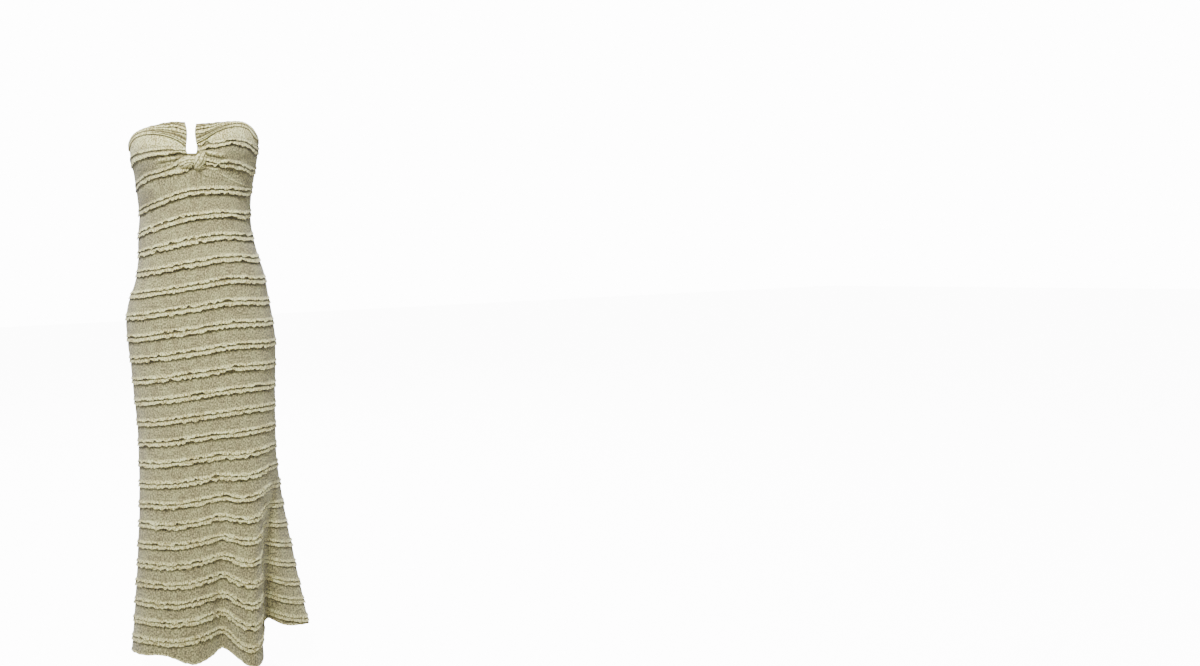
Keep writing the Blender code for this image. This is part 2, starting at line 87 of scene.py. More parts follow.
# Each column of cloth: its angle on the body from the centre front towards the wearer's
# left, where it meets the hem, and how deep it lies in the fold at the left.
Column = namedtuple("Column", "name angle hem_x hem_y hem_z fold")
COLUMNS = [
    Column("right_seam", -90, -0.156, -0.018, -1.168, 0.0),
    Column("right_lobe", -68, -0.190, -0.062, -1.172, 0.0),
    Column("right_turn", -50, -0.166, -0.110, -1.168, 0.0),
    Column("front_bay", -29, -0.108, -0.137, -1.162, 0.0),
    Column("front_swell", -12, -0.046, -0.149, -1.177, 0.0),
    Column("centre_front", 0, -0.006, -0.127, -1.170, 0.0),
    Column("front_valley", 11, 0.022, -0.103, -1.163, 0.0),
    Column("front_ridge", 31, 0.080, -0.150, -1.184, 0.0),
    Column("ridge_edge", 44, 0.107, -0.120, -1.184, 0.30),
    Column("fold_wall", 60, 0.108, -0.068, -1.155, 0.50),
    Column("left_seam", 78, 0.118, -0.022, -1.131, 0.40),
    Column("left_lobe_front", 93, 0.164, -0.024, -1.147, 0.10),
    Column("left_lobe_tip", 114, 0.222, 0.016, -1.160, 0.0),
    Column("left_lobe_back", 133, 0.172, 0.072, -1.168, 0.0),
    Column("left_back", 155, 0.098, 0.108, -1.174, 0.0),
    Column("back_ridge_left", 174, 0.035, 0.160, -1.184, 0.0),
    Column("back_ridge_right", 190, -0.028, 0.172, -1.187, 0.0),
    Column("back_valley", 211, -0.060, 0.094, -1.176, 0.0),
    Column("right_back", 228, -0.118, 0.066, -1.174, 0.0),
    Column("right_back_tip", 250, -0.186, 0.030, -1.176, 0.0),
    Column("right_back_edge", 260, -0.184, -0.002, -1.172, 0.0),
]
RIGHT_SEAM = 0
LEFT_SEAM = 10

# Height of the upper lip of each pair of ruffles, counted from the top edge, at twelve
# places round the dress.
Ring = namedtuple("Ring", "ring back right_back right right_front front_right front valley "
                  "front_left ridge_edge left left_tip left_back")
RINGS = [
    Ring(0, -0.038, -0.031, -0.058, -0.054, -0.050, -0.045, -0.044,
         -0.045, -0.049, -0.054, -0.031, -0.029),
    Ring(1, -0.080, -0.082, -0.116, -0.110, -0.105, -0.095, -0.094,
         -0.095, -0.097, -0.099, -0.077, -0.074),
    Ring(2, -0.131, -0.138, -0.172, -0.165, -0.153, -0.141, -0.138,
         -0.138, -0.140, -0.143, -0.122, -0.120),
    Ring(3, -0.186, -0.190, -0.225, -0.217, -0.206, -0.196, -0.192,
         -0.190, -0.192, -0.195, -0.176, -0.173),
    Ring(5, -0.285, -0.291, -0.314, -0.312, -0.307, -0.300, -0.294,
         -0.290, -0.291, -0.295, -0.285, -0.283),
    Ring(8, -0.436, -0.440, -0.463, -0.461, -0.455, -0.449, -0.442,
         -0.438, -0.439, -0.441, -0.437, -0.436),
    Ring(12, -0.633, -0.632, -0.659, -0.655, -0.649, -0.642, -0.637,
         -0.634, -0.633, -0.633, -0.632, -0.631),
    Ring(16, -0.823, -0.814, -0.847, -0.839, -0.837, -0.829, -0.822,
         -0.828, -0.826, -0.817, -0.824, -0.815),
    Ring(20, -1.011, -0.989, -1.022, -1.013, -1.011, -1.002, -0.997,
         -1.009, -1.011, -0.984, -1.016, -1.000),
    Ring(23, -1.140, -1.102, -1.145, -1.132, -1.131, -1.121, -1.120,
         -1.142, -1.140, -1.099, -1.144, -1.124),
]
RING_PLACES = [("left", 60), ("left_tip", 113), ("left_back", 132), ("back", 180),
               ("right_back", 236), ("right", 271), ("right", 285), ("right_front", 310),
               ("front_right", 335), ("front", 355), ("valley", 371), ("front_left", 385),
               ("ridge_edge", 402)]
BACK_RINGS = range(0, 24)
CUP_RINGS = range(0, 2)
FRONT_RINGS = range(2, 24)

# Depth of a pair, from the upper lip to the lower, by ring.
PairDepth = namedtuple("PairDepth", "ring depth")
PAIR_DEPTHS = [PairDepth(0, 0.0115), PairDepth(4, 0.0115), PairDepth(12, 0.0105),
               PairDepth(23, 0.0095)]

# The top edge on each side, and the seam under the bust, by angle from the centre front.
TopEdge = namedtuple("TopEdge", "angle right left")
TOP_EDGE = [
    TopEdge(0, 0.019, 0.013),
    TopEdge(12, 0.023, 0.014),
    TopEdge(25, 0.020, 0.016),
    TopEdge(45, 0.014, 0.017),
    TopEdge(62, 0.005, 0.007),
    TopEdge(72, -0.004, -0.006),
    TopEdge(82, -0.013, -0.018),
    TopEdge(90, -0.018, -0.018),
    TopEdge(130, -0.016, -0.016),
    TopEdge(180, -0.024, -0.024),
]
UnderBust = namedtuple("UnderBust", "angle z")
UNDER_BUST = [
    UnderBust(0, -0.0975),
    UnderBust(12, -0.110),
    UnderBust(25, -0.120),
    UnderBust(45, -0.129),
    UnderBust(62, -0.133),
    UnderBust(90, -0.135),
]

# Lines across a cup, by the share of the way from its side seam to the keyhole.
CupLine = namedtuple("CupLine", "share band upper_0 lower_0 upper_1 lower_1")
RIGHT_CUP_LINES = [
    CupLine(0.16, -0.026, -0.050, -0.068, -0.112, -0.124),
    CupLine(0.33, -0.010, -0.046, -0.062, -0.106, -0.118),
    CupLine(0.50, -0.005, -0.045, -0.059, -0.098, -0.110),
    CupLine(0.67, -0.007, -0.046, -0.060, -0.094, -0.105),
    CupLine(0.82, -0.016, -0.046, -0.059, -0.086, -0.102),
    CupLine(0.92, -0.028, -0.048, -0.056, -0.073, -0.099),
    CupLine(1.00, -0.043, -0.049, -0.054, -0.068, -0.090),
]
LEFT_CUP_LINES = [
    CupLine(0.14, -0.022, -0.044, -0.058, -0.094, -0.106),
    CupLine(0.28, -0.004, -0.037, -0.049, -0.090, -0.101),
    CupLine(0.42, 0.002, -0.031, -0.044, -0.085, -0.098),
    CupLine(0.58, 0.000, -0.033, -0.042, -0.082, -0.094),
    CupLine(0.75, -0.010, -0.037, -0.046, -0.082, -0.089),
    CupLine(0.90, -0.028, -0.037, -0.050, -0.074, -0.082),
    CupLine(1.00, -0.038, -0.041, -0.053, -0.070, -0.078),
]
# The soft folds of a cup, through three points: how wide and high each is, how pale its
# crest is painted as highlight, and how dark the painted shade in the crease under it.
CupFold = namedtuple("CupFold", "side start start_z middle middle_z end end_z width rise "
                     "pale crease")
CUP_FOLDS = [
    CupFold("right", 0.58, -0.0730, 0.80, -0.0670, 1.00, -0.0675, 0.0034, 0.0036, 0.9, 0.9),
    CupFold("right", 0.66, -0.0830, 0.84, -0.0765, 0.97, -0.0690, 0.0026, 0.0022, 0.5, 0.7),
    CupFold("right", 0.30, -0.0270, 0.66, -0.0300, 0.98, -0.0440, 0.0050, 0.0016, 0.3, 0.3),
    CupFold("left", 0.58, -0.0700, 0.78, -0.0620, 0.97, -0.0545, 0.0034, 0.0050, 1.0, 1.0),
    CupFold("left", 0.50, -0.0190, 0.74, -0.0240, 0.97, -0.0420, 0.0034, 0.0016, 0.3, 0.4),
    CupFold("left", 0.16, -0.1330, 0.50, -0.1195, 0.86, -0.0900, 0.0010, 0.0009, 1.0, 0.5),
    CupFold("left", 0.62, -0.1010, 0.78, -0.0950, 0.94, -0.0850, 0.0022, 0.0014, 0.3, 0.4),
]
Cup = namedtuple("Cup", "side seam_angle lines")

# Half the width of the keyhole between the cups, by height. Below it is a narrow slit.
SLIT = 0.00015
NotchWidth = namedtuple("NotchWidth", "z half_width")
NOTCH = [
    NotchWidth(-0.100, SLIT),
    NotchWidth(-0.067, SLIT),
    NotchWidth(-0.064, 0.0015),
    NotchWidth(-0.059, 0.0070),
    NotchWidth(-0.053, 0.0115),
    NotchWidth(-0.040, 0.0120),
    NotchWidth(-0.024, 0.0095),
    NotchWidth(-0.004, 0.0088),
    NotchWidth(0.020, 0.0130),
]

BUST_FULLNESS = 0.013
BUST_X = 0.078
BUST_Z = -0.050
BUST_SPREAD_X = 0.036
BUST_SPREAD_Z = 0.045
CLEFT_DEPTH = 0.006
CLEFT_SPREAD = 0.028
SWELL_SIDES = 3.0


# ---------------------------------------------------------------- curves
def curve(keys, values, at):
    """Values at points on a smooth curve through values, whose keys rise."""
    keys = np.asarray(keys, float)
    values = np.asarray(values, float)
    at = np.clip(np.asarray(at, float), keys[0], keys[-1])
    low = np.maximum(np.arange(len(keys)) - 1, 0)
    high = np.minimum(np.arange(len(keys)) + 1, len(keys) - 1)
    slopes = (values[high] - values[low]) / (keys[high] - keys[low])
    i = np.clip(np.searchsorted(keys, at) - 1, 0, len(keys) - 2)
    span = keys[i + 1] - keys[i]
    t = (at - keys[i]) / span
    rise = values[i + 1] - values[i]
    start = slopes[i] * span
    end = slopes[i + 1] * span
    return values[i] + t * (start + t * (3 * rise - 2 * start - end + t * (start + end - 2 * rise)))


def table(rows, key_name, value_name, at):
    return curve([getattr(r, key_name) for r in rows], [getattr(r, value_name) for r in rows], at)


def column_value(place, name):
    """A named value of COLUMNS at places between them, on round the dress."""
    place = np.asarray(place, float)
    first = np.floor(place).astype(int)
    t = place - first
    values = np.array([getattr(c, name) for c in COLUMNS], float)

    def value(index):
        turns, row = np.divmod(index, len(COLUMNS))
        return values[row] + (360 * turns if name == "angle" else 0)

    before, start, end, after = (value(first + step) for step in (-1, 0, 1, 2))
    bend = start - end
    return 0.5 * (2 * start + t * (end - before
                  + t * (2 * before - 5 * start + 4 * end - after
                         + t * (3 * bend + after - before))))


def signed_power(value, power):
    return np.sign(value) * np.abs(value) ** power


def smooth(value):
    value = np.clip(value, 0, 1)
    return value * value * (3 - 2 * value)


def bump(at, middle, spread):
    return np.exp(-((at - middle) / spread) ** 2)


def noise_1d(at, pitch, seed):
    """Smooth noise from -1 to 1 along a line, with a given pitch."""
    rng = np.random.default_rng(seed)
    knots = rng.uniform(-1, 1, 4096)
    place = np.asarray(at) / pitch + 512
    first = np.floor(place).astype(int)
    t = smooth(place - first)
    return knots[first % 4096] * (1 - t) + knots[(first + 1) % 4096] * t


def noise_2d(a, b, pitch_a, pitch_b, seed):
    """Smooth noise from -1 to 1 over a surface."""
    rng = np.random.default_rng(seed)
    knots = rng.uniform(-1, 1, (512, 512))
    pa = np.asarray(a) / pitch_a + 128.0
    pb = np.asarray(b) / pitch_b + 256.0
    ia = np.floor(pa).astype(int)
    ib = np.floor(pb).astype(int)
    ta = smooth(pa - ia)
    tb = smooth(pb - ib)
    low = knots[ia % 512, ib % 512] * (1 - ta) + knots[(ia + 1) % 512, ib % 512] * ta
    high = knots[ia % 512, (ib + 1) % 512] * (1 - ta) + knots[(ia + 1) % 512, (ib + 1) % 512] * ta
    return low * (1 - tb) + high * tb


# ---------------------------------------------------------------- the worn form
def bust_swell(x, z):
    height = bump(z, BUST_Z, BUST_SPREAD_Z)
    full = BUST_FULLNESS * bump(np.abs(x), BUST_X, BUST_SPREAD_X)
    return height * (full - CLEFT_DEPTH * bump(x, 0, CLEFT_SPREAD))


def body_xy(angle, z):
    """Point of the cloth on the body, at an angle from the centre front."""
    turn = np.radians(angle)
    across = signed_power(np.sin(turn), 2 / SECTION_POWER)
    along = signed_power(np.cos(turn), 2 / SECTION_POWER)
    x = table(SECTIONS, "z", "half_width", z) * across
    depth = np.where(along > 0, table(SECTIONS, "z", "front", z), table(SECTIONS, "z", "back", z))
    y = -depth * along - bust_swell(x, z) * np.clip(along * SWELL_SIDES, 0, 1)
    return np.stack([x + table(SECTIONS, "z", "centre_x", z), y], -1)


def flare(z):
    return (np.maximum(0.0, FLARE_TOP - z) / FLARE_HEIGHT) ** FLARE_POWER


def folded(place, z):
    """How far a column is drawn to its place at the hem above it, by the left fold."""
    return column_value(place, "fold") * smooth((FOLD_TOP - z) / FOLD_HEIGHT)


def cloth_xy(place, z):
    """Point of the plain cloth in a column, at height z."""
    on_body = body_xy(column_value(place, "angle"), z)
    at_hem = np.stack([column_value(place, "hem_x"), column_value(place, "hem_y")], -1)
    share = flare(z)
    share = (share + (1 - share) * folded(place, z))[..., None]
    return on_body * (1 - share) + at_hem * share


def off(section, place, z, rise, step):
    """Points off a section curve, moved out by rise."""
    place, z, rise = np.broadcast_arrays(place, z, rise)
    here = section(place, z)
    along = section(place + step, z) - section(place - step, z)
    along = along / np.linalg.norm(along, axis=-1, keepdims=True)
    outward = np.stack([along[..., 1], -along[..., 0]], -1)
    flat = here + outward * rise[..., None]
    return np.concatenate([flat, z[..., None]], -1)


def panel_at(place, z, rise):
    return off(cloth_xy, place, z, rise, COLUMN_STEP)


def body_at(angle, z, rise):
    return off(body_xy, angle, z, rise, ANGLE_STEP)


def ring_height(ring, angle):
    heights = [table(RINGS, "ring", name, ring) for name, _ in RING_PLACES]
    places = [place for _, place in RING_PLACES]
    turned = (np.asarray(angle) - places[0]) % 360 + places[0]
    return curve([places[-1] - 360] + places + [places[0] + 360],
                 [heights[-1]] + heights + [heights[0]], turned)


def from_front(angle):
    return (np.asarray(angle) + 180) % 360 - 180


def top_edge(angle, side):
    return table(TOP_EDGE, "angle", side, np.abs(from_front(angle)))


def under_bust(angle):
    return table(UNDER_BUST, "angle", "z", np.abs(angle))


# ---------------------------------------------------------------- meshes
class Lofts:
    """Closed lofts gathered into one piece: each is (columns, round, 3) with its own UVs.

    The map "Cloth" holds lengths along the cloth and up it. The map "Tone" holds how much
    painted shade a point gets in a crease or a shadow, and how near it is to the pale colour
    of a ruffle's lip. That paleness stands partly for the lip's own paler yarn and partly for
    painted highlight, and on the crests of folds it is painted highlight alone.
    """

    def __init__(self):
        self.points = []
        self.coords = []
        self.shades_and_pales = []
        self.faces = []
        self.count = 0

    def add(self, loops, coords, shade_and_pale):
        columns, sides = loops.shape[:2]
        index = np.arange(columns * sides).reshape(columns, sides) + self.count
        a = index[:-1]
        b = index[1:]
        quads = np.stack([a, np.roll(a, -1, 1), np.roll(b, -1, 1), b], -1).reshape(-1, 4)
        self.faces += quads.tolist()
        self.close(index[0][::-1].tolist())
        self.close(index[-1].tolist())
        self.points.append(loops.reshape(-1, 3))
        self.coords.append(coords.reshape(-1, 2))
        self.shades_and_pales.append(shade_and_pale.reshape(-1, 2))
        self.count += columns * sides

    def close(self, loop):
        """Faces across an end, from one half of its loop to the other."""
        last = len(loop) - 1
        for i in range(last // 2):
            face = (loop[i], loop[i + 1], loop[last - 1 - i], loop[last - i])
            self.faces.append(list(dict.fromkeys(face)))

    def make(self, name, finish, replaces=()):
        mesh = bpy.data.meshes.new(name)
        points = np.concatenate(self.points)
        mesh.from_pydata(points.tolist(), [], self.faces)
        corners = np.empty(len(mesh.loops), int)
        mesh.loops.foreach_get("vertex_index", corners)
        for layer_name, values in (("Cloth", self.coords), ("Tone", self.shades_and_pales)):
            layer = mesh.uv_layers.new(name=layer_name)
            layer.data.foreach_set("uv", np.concatenate(values)[corners].ravel())
        mesh.uv_layers.active_index = 0
        mesh.materials.append(finish)
        mesh.shade_smooth()
        mesh.set_sharp_from_angle(angle=SHARP_ANGLE)
        mesh.update()
        piece = bpy.data.objects.new(name, mesh)
        bpy.context.scene.collection.objects.link(piece)
        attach(piece, "root")
        if replaces:
            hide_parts(*replaces)
        return piece


def shell_piece(name, parts, finish, node):
    """A piece that is one closed shell, in place of a node."""
    made = Lofts()
    made.add(*parts)
    return made.make(name, finish, [node])


def lengths(points):
    """Distance along a line of points."""
    steps = np.linalg.norm(np.diff(points, axis=0), axis=-1)
    return np.concatenate([[0.0], np.cumsum(steps)])


# The plain inside of every shell is darkened by painted shade, this much.
INNER_SHADE = 0.6        # how dark the plain inside is


def shell(outer, inner, along, heights, shade_and_pale):
    """Loops of a closed shell from (columns, rows) sheets, with cloth coordinates."""
    # The inside gets painted shade and no paleness.
    plain_side = np.stack([np.full_like(heights, INNER_SHADE), np.zeros_like(heights)], -1)
    loops = np.concatenate([outer, inner[:, ::-1]], 1)
    flat = np.stack([np.broadcast_to(along[:, None], heights.shape), heights], -1)
    coords = np.concatenate([flat, flat[:, ::-1]], 1)
    return loops, coords, np.concatenate([shade_and_pale, plain_side], 1)


# A ruffle's profile, from its root down to its lip and back up inside: the share of its
# depth, of its rise and of its crimp, how pale it is, and how much painted shade it gets in
# the crease and on its underside as the upper or the lower ruffle of a pair. The paleness
# stands partly for the lip's own paler yarn and partly for painted highlight on its lit
# outside.
FlapPoint = namedtuple("FlapPoint", "down rise crimp pale upper lower")
FLAP = [
    FlapPoint(0.00, -0.04, 0.00, 0.00, 0.00, 1.00),
    FlapPoint(0.16, 0.14, 0.04, 0.10, 0.00, 1.00),
    FlapPoint(0.34, 0.34, 0.16, 0.60, 0.00, 0.75),
    FlapPoint(0.52, 0.60, 0.45, 0.95, 0.00, 0.10),
    FlapPoint(0.76, 0.84, 0.80, 1.00, 0.00, 0.00),
    FlapPoint(0.92, 1.00, 1.00, 1.00, 0.00, 0.00),
    FlapPoint(1.00, 0.96, 1.00, 0.90, 0.10, 0.10),
    FlapPoint(1.00, 0.76, 1.00, 0.30, 0.80, 0.80),
    FlapPoint(0.84, 0.58, 0.85, 0.00, 1.00, 1.00),
    FlapPoint(0.52, 0.24, 0.40, 0.00, 1.00, 1.00),
    FlapPoint(0.18, -0.16, 0.04, 0.00, 1.00, 1.00),
]
FLAP_RISE = 0.0032
WOBBLE = 0.0024          # up and down, at the lip
CRIMP = 0.0016           # in and out, at the lip
CURL = 0.0034            # how far a lip curls up here and there
PUCKER = 0.0004          # fine gathers over the whole ruffle
CRIMP_PITCH = 0.0058
CURL_PITCH = 0.011
PUCKER_PITCH = 0.0042
DRIFT = 0.0007           # slow wander of a lip up and down
DRIFT_PITCH = 0.03
LIVELY_PITCH = 0.045     # how often a ruffle turns from flat to lively
FLATTEST = 0.55
CURL_RARE = 0.42         # the higher, the fewer curls
OFF_ROOT = 0.0004        # how far a ruffle always stays off the cloth
OFF_LIP = 0.0006


def flap(at, ground, place, along, root, lip, layer, seed, calm, shade):
    """Loops of one ruffle along a line: at(place, z, rise) puts its points on the cloth.

    Its layer is the upper or the lower of a pair. Where calm is small it lies flatter.
    """
    down, out, crimp, pale, upper, lower = [np.array(values)[None] for values in zip(*FLAP)]
    # Painted shade on the ruffle's underside and in the crease of its pair, by its layer.
    crease = upper if layer == "upper" else lower
    stir = smooth(0.5 + 0.9 * noise_1d(along, LIVELY_PITCH, seed + 3))
    lively = FLATTEST + (1 - FLATTEST) * stir
    wave = noise_1d(along, CRIMP_PITCH, seed) + 0.6 * noise_1d(along, CRIMP_PITCH * 0.53, seed + 1)
    curl = CURL * smooth((noise_1d(along, CURL_PITCH, seed + 6) - CURL_RARE) / 0.5)
    drift = DRIFT * noise_1d(along, DRIFT_PITCH, seed + 2)
    lift = (WOBBLE * lively * wave + drift + curl) * calm
    push = (CRIMP * lively * noise_1d(along, CRIMP_PITCH * 0.7, seed + 4) + 0.35 * curl) * calm
    gather = PUCKER * noise_1d(along, PUCKER_PITCH, seed + 5)
    depth = (root - lip)[:, None]
    z = root[:, None] - down * depth + crimp * lift[:, None]
    fine = np.sin(np.pi * np.clip(down, 0, 1)) * gather[:, None]
    away = out * FLAP_RISE * (0.5 + 0.5 * calm)[:, None] + crimp * push[:, None] + fine
    away = np.where(out > 0.1, np.maximum(away, OFF_ROOT + OFF_LIP * out), away)
    spread = np.broadcast_to(place[:, None], z.shape)
    loops = at(spread, z, away + ground(spread, z))
    coords = np.stack([np.broadcast_to(along[:, None], z.shape), z], -1)
    # Painted shade where the ruffle lies in the shades.
    crease = np.maximum(crease, shade[:, None])
    shade_and_pale = np.stack(np.broadcast_arrays(crease, pale), -1)
    return loops, coords, shade_and_pale


RUFFLE_TOP = 0.0085      # from the upper ruffle's root to its lip
LOWER_ROOT = 0.001       # from the lower ruffle's root down to the upper one's lip


def add_pair(made, at, ground, place, along, upper, lower, seed, calm, shade):
    """Add the two ruffles of a pair, whose lips hang at the upper and the lower height."""
    made.add(*flap(at, ground, place, along, upper + RUFFLE_TOP, upper, "upper", seed, calm,
                   shade))
    made.add(*flap(at, ground, place, along, upper + LOWER_ROOT, lower, "lower", seed + 10, calm,
                   shade))


# ---------------------------------------------------------------- materials
def new_group(name, inputs, outputs):
    group = bpy.data.node_groups.new(name, "ShaderNodeTree")
    for socket, kind, value in inputs:
        made = group.interface.new_socket(socket, in_out="INPUT", socket_type=kind)
        if value is not None:
            made.default_value = value
    for socket, kind in outputs:
        group.interface.new_socket(socket, in_out="OUTPUT", socket_type=kind)
    start = group.nodes.new("NodeGroupInput")
    end = group.nodes.new("NodeGroupOutput")
    return group, start, end


def feed(tree, socket, value):
    """Link a socket to another's output, or set it to a number or a colour."""
    if isinstance(value, tuple):
        socket.default_value = (*value, 1.0)
    elif isinstance(value, (int, float)):
        socket.default_value = value
    else:
        tree.links.new(value, socket)


def math_node(tree, operation, *values):
    node = tree.nodes.new("ShaderNodeMath")
    node.operation = operation
    for socket, value in zip(node.inputs, values):
        feed(tree, socket, value)
    return node.outputs[0]


def noise_node(tree, vector, scale, detail=2.0, rough=0.5):
    node = tree.nodes.new("ShaderNodeTexNoise")
    node.inputs["Scale"].default_value = scale
    node.inputs["Detail"].default_value = detail
    node.inputs["Roughness"].default_value = rough
    tree.links.new(vector, node.inputs["Vector"])
    return node.outputs["Fac"]


def stretched(tree, vector, across, down):
    node = tree.nodes.new("ShaderNodeMapping")
    node.inputs["Scale"].default_value = (across, down, 1.0)
    tree.links.new(vector, node.inputs["Vector"])
    return node.outputs["Vector"]


RIB_PITCH = 0.0044
RIB_WANDER = 5.0         # how far the ribs wander from straight, as an angle of their wave
RIB_SHADE = 0.03         # how much darker the cloth is between its ribs
FLECK_SHARE = 0.8
MOTTLE_SHARE = 0.2


def knit_group():
    """Fine ribs that run down the cloth, crinkled, with flecks of a lighter yarn."""
    number = "NodeSocketFloat"
    group, start, end = new_group(
        "rib_knit",
        [("Vector", "NodeSocketVector", None), ("Rib", number, 1.0), ("Crinkle", number, 1.0)],
        [("Height", number), ("Fleck", number), ("Mottle", number), ("Ribs", number)])
    vector = start.outputs["Vector"]
    split = group.nodes.new("ShaderNodeSeparateXYZ")
    group.links.new(vector, split.inputs[0])
    wander = noise_node(group, stretched(group, vector, 60, 25), 1.0, 1.0)
    wave = math_node(group, "MULTIPLY", split.outputs["X"], 2 * math.pi / RIB_PITCH)
    wave = math_node(group, "ADD", wave, math_node(group, "MULTIPLY", wander, RIB_WANDER))
    rib = math_node(group, "MULTIPLY_ADD", math_node(group, "SINE", wave), 0.5, 0.5)
    crinkle = noise_node(group, stretched(group, vector, 420, 150), 1.0, 3.0, 0.65)
    fleck = noise_node(group, stretched(group, vector, 330, 250), 1.0, 2.0, 0.6)
    mottle = noise_node(group, stretched(group, vector, 45, 30), 1.0, 3.0, 0.55)
    height = math_node(group, "ADD",
                       math_node(group, "MULTIPLY", rib, start.outputs["Rib"]),
                       math_node(group, "MULTIPLY", crinkle, start.outputs["Crinkle"]))
    group.links.new(height, end.inputs["Height"])
    group.links.new(fleck, end.inputs["Fleck"])
    group.links.new(mottle, end.inputs["Mottle"])
    group.links.new(rib, end.inputs["Ribs"])
    return group


def colour_ramp(tree, factor, stops):
    node = tree.nodes.new("ShaderNodeValToRGB")
    ramp = node.color_ramp
    while len(ramp.elements) < len(stops):
        ramp.elements.new(0.5)
    for element, (place, colour) in zip(ramp.elements, stops):
        element.position = place
        element.color = (*colour, 1.0)
    tree.links.new(factor, node.inputs["Fac"])
    return node.outputs["Color"]


def mixed(tree, factor, a, b, blend="MIX"):
    node = tree.nodes.new("ShaderNodeMix")
    node.data_type = "RGBA"
    node.blend_type = blend
    for name, value in (("Factor_Float", factor), ("A_Color", a), ("B_Color", b)):
        feed(tree, next(s for s in node.inputs if s.identifier == name), value)
    return next(s for s in node.outputs if s.identifier == "Result_Color")


def knit(name, group, rib, crinkle, bump_height):
    """Flecked rib knit: painted shade in the creases; lips paler, partly as painted highlight."""
    made = bpy.data.materials.new(name)
    made.use_nodes = True
    tree = made.node_tree
    shader = tree.nodes["Principled BSDF"]
    shader.inputs["Roughness"].default_value = 0.88
    shader.inputs["Metallic"].default_value = 0.0
    shader.inputs["Specular IOR Level"].default_value = 0.18
    shader.inputs["Sheen Weight"].default_value = 0.25
    shader.inputs["Sheen Roughness"].default_value = 0.6
    coords = tree.nodes.new("ShaderNodeUVMap")
    coords.uv_map = "Cloth"
    pattern = tree.nodes.new("ShaderNodeGroup")
    pattern.node_tree = group
    pattern.inputs["Rib"].default_value = rib
    pattern.inputs["Crinkle"].default_value = crinkle
    tree.links.new(coords.outputs["UV"], pattern.inputs["Vector"])
    shade_and_pale = tree.nodes.new("ShaderNodeUVMap")
    shade_and_pale.uv_map = "Tone"
    split = tree.nodes.new("ShaderNodeSeparateXYZ")
    tree.links.new(shade_and_pale.outputs["UV"], split.inputs[0])
    fleck = math_node(tree, "ADD",
                      math_node(tree, "MULTIPLY", pattern.outputs["Fleck"], FLECK_SHARE),
                      math_node(tree, "MULTIPLY", pattern.outputs["Mottle"], MOTTLE_SHARE))
    fleck = math_node(tree, "ADD", fleck,
                      math_node(tree, "MULTIPLY_ADD", pattern.outputs["Ribs"], RIB_SHADE,
                                -RIB_SHADE / 2))
    cloth = colour_ramp(tree, fleck, [(0.41, CLOTH_DARK), (0.5, CLOTH_MIDDLE), (0.59, CLOTH_LIGHT)])
    lip = colour_ramp(tree, fleck, [(0.42, LIP_DARK), (0.5, LIP_MIDDLE), (0.56, LIP_LIGHT)])
    tint = colour_ramp(tree, pattern.outputs["Mottle"], [(0.36, WARM_TINT), (0.62, COOL_TINT)])
    # Towards the lip colours: partly the lips' own paler yarn, partly painted highlight.
    colour = mixed(tree, split.outputs["Y"], cloth, lip)
    colour = mixed(tree, 1.0, colour, tint, "MULTIPLY")
    # Painted shade: multiplied by the shade colour as far as the map's first value says.
    colour = mixed(tree, split.outputs["X"], colour, PAINTED_SHADE, "MULTIPLY")
    tree.links.new(colour, shader.inputs["Base Color"])
    relief = tree.nodes.new("ShaderNodeBump")
    relief.inputs["Strength"].default_value = 1.0
    relief.inputs["Distance"].default_value = bump_height
    tree.links.new(pattern.outputs["Height"], relief.inputs["Height"])
    tree.links.new(relief.outputs["Normal"], shader.inputs["Normal"])
    return made


rib_knit = knit_group()

# The yarn's colours, and what a tint or the painted shade multiplies them by. The lip
# colours stand partly for the lips' own paler yarn and partly for painted highlight.
CLOTH_DARK = (0.140, 0.129, 0.064)
CLOTH_MIDDLE = (0.310, 0.284, 0.133)
CLOTH_LIGHT = (0.590, 0.542, 0.262)
LIP_DARK = (0.290, 0.262, 0.095)
LIP_MIDDLE = (0.740, 0.690, 0.290)
LIP_LIGHT = (1.000, 0.970, 0.545)
WARM_TINT = (1.0, 0.962, 0.945)
COOL_TINT = (0.955, 0.985, 0.95)
# The colour of painted shade in creases, shadows and undersides.
PAINTED_SHADE = (0.36, 0.332, 0.258)
cloth_finish = knit("plain_rib_knit", rib_knit, rib=0.5, crinkle=1.6, bump_height=0.0008)
ruffle_finish = knit("ruffle_knit", rib_knit, rib=0.2, crinkle=2.0, bump_height=0.0010)
band_finish = knit("casing_knit", rib_knit, rib=0.2, crinkle=0.8, bump_height=0.0006)


# ---------------------------------------------------------------- the long panels
EASE = 0.0006            # small unevenness of the worn cloth
EASE_TURN = 9.0
EASE_HEIGHT = 0.035
GATHERS = 88             # gathers under the knot, to a full turn
GATHER_RISE = 0.0008
GATHER_ANGLE = 7.0       # where they are strongest, and how far they spread
GATHER_SPREAD = 13.0
GATHER_END = -0.150
GATHER_FADE = 0.045
# How dark the painted shade in the gathers' troughs is.
GATHER_SHADE = 0.75


def gathered(place, z):
    """How strong the gathers under the knot are, and their wave."""
    angle = from_front(column_value(place, "angle"))
    near = bump(angle, GATHER_ANGLE, GATHER_SPREAD) * smooth((z - GATHER_END) / GATHER_FADE)
    wave = np.sin(np.radians(angle) * GATHERS + 2.0 * noise_1d(angle, 6.0, 5))
    return near, wave


# Painted shade in the troughs of the gathers under the knot.
def gather_shade(place, z):
    near, wave = gathered(place, z)
    return GATHER_SHADE * near * smooth(-wave - 0.1)


def cloth_relief(place, z):
    """Rise of the worn cloth's unevenness, and of its gathers under the knot."""
    angle = column_value(place, "angle")
    ease = EASE * noise_2d(angle, z, EASE_TURN, EASE_HEIGHT, 11)
    near, wave = gathered(place, z)
    return ease + GATHER_RISE * near * wave


